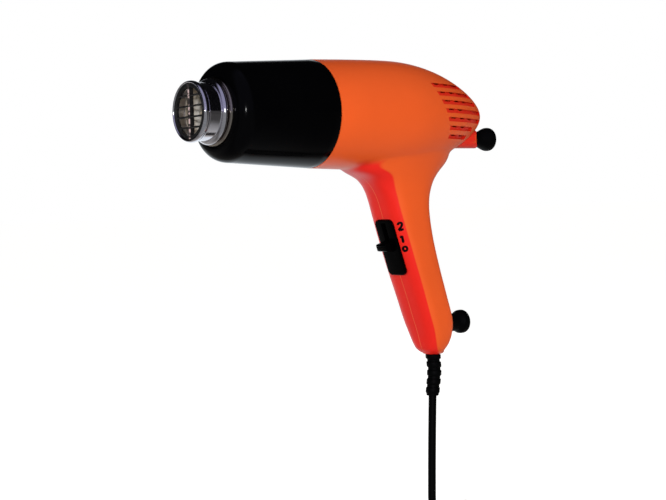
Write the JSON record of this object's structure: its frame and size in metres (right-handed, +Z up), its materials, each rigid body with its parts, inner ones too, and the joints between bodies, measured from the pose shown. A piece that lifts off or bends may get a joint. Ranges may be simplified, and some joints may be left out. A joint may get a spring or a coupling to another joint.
{
  "type": "hot air tool",
  "caption": "Pistol-shaped electric hot air tool with a grilled steel nozzle, dark heat shield, moulded housing, slide switch, standing feet and a mains cord.",
  "frame": {"origin": "middle of the grip, where a hand holds the tool", "axes": "+X the way the air blows, along the barrel; +Y the tool's left; +Z up, with the tool held level"},
  "size_m": [0.3219, 0.1164, 0.3527],
  "materials": {
    "housing": "satin orange plastic",
    "shield": "glossy black heat-resistant plastic",
    "nozzle": "bright rolled steel",
    "grille": "heat-darkened steel wire",
    "mica": "pressed mica sheet",
    "heater_wire": "resistance wire",
    "ceramic": "ceramic",
    "dark_steel": "zinc-plated steel",
    "fan_plastic": "moulded black plastic",
    "board": "circuit board",
    "brass": "plain",
    "switch": "black plastic",
    "capacitor": "yellow plastic case",
    "clamp": "plain plastic",
    "rubber": "black rubber",
    "cord": "black rubber sheath",
    "brown_wire": "insulated wire",
    "blue_wire": "insulated wire"
  },
  "bodies": {
    "tool": {"left_housing": "housing", "right_housing": "housing", "heat_shield": "shield", "nozzle_tube": "nozzle", "retaining_ring": "nozzle", "outlet_grille": "grille", "mica_sleeve": "mica", "upright_heater_plate": "mica", "level_heater_plate": "mica", "heating_winding": "heater_wire", "heater_base": "ceramic", "thermal_cutout": "dark_steel", "fan_shroud": "fan_plastic", "motor_can": "dark_steel", "motor_end_cap": "fan_plastic", "rectifier_board": "board", "board_post_1": "brass", "board_post_2": "brass", "switch_plate": "switch", "switch_body": "fan_plastic", "capacitor": "capacitor", "cord_clamp": "clamp", "cord_saddle": "clamp", "upper_foot": "rubber", "lower_foot": "rubber", "strain_relief": "rubber", "cord_lead": "cord", "cord_coil": "cord", "cord_tail": "cord", "cable_tie": "clamp", "plug_body": "rubber", "plug_pin_1": "brass", "plug_pin_2": "brass", "brown_lead": "brown_wire", "blue_lead": "blue_wire", "motor_lead": "brown_wire", "housing_screw_1": "dark_steel", "housing_screw_2": "dark_steel", "housing_screw_3": "dark_steel", "housing_screw_4": "dark_steel", "housing_screw_5": "dark_steel", "housing_screw_6": "dark_steel", "diode_1": "fan_plastic", "diode_2": "fan_plastic", "diode_3": "fan_plastic", "diode_4": "fan_plastic", "switch_terminal_1": "brass", "switch_terminal_2": "brass", "switch_terminal_3": "brass"},
    "rotor": {"fan": "fan_plastic", "motor_shaft": "dark_steel"},
    "slider": {"switch_knob": "switch"}
  },
  "joints": [
    {"name": "rotor_spin", "type": "hinge", "parent": "tool", "child": "rotor", "pos_m": [0.0535, 0, 0.1], "axis": [1, 0, 0], "continuous": true},
    {"name": "switch_slide", "type": "slide", "parent": "tool", "child": "slider", "axis": [0.309, 0, 0.9511], "range_m": [0, 0.0144]}
  ]
}
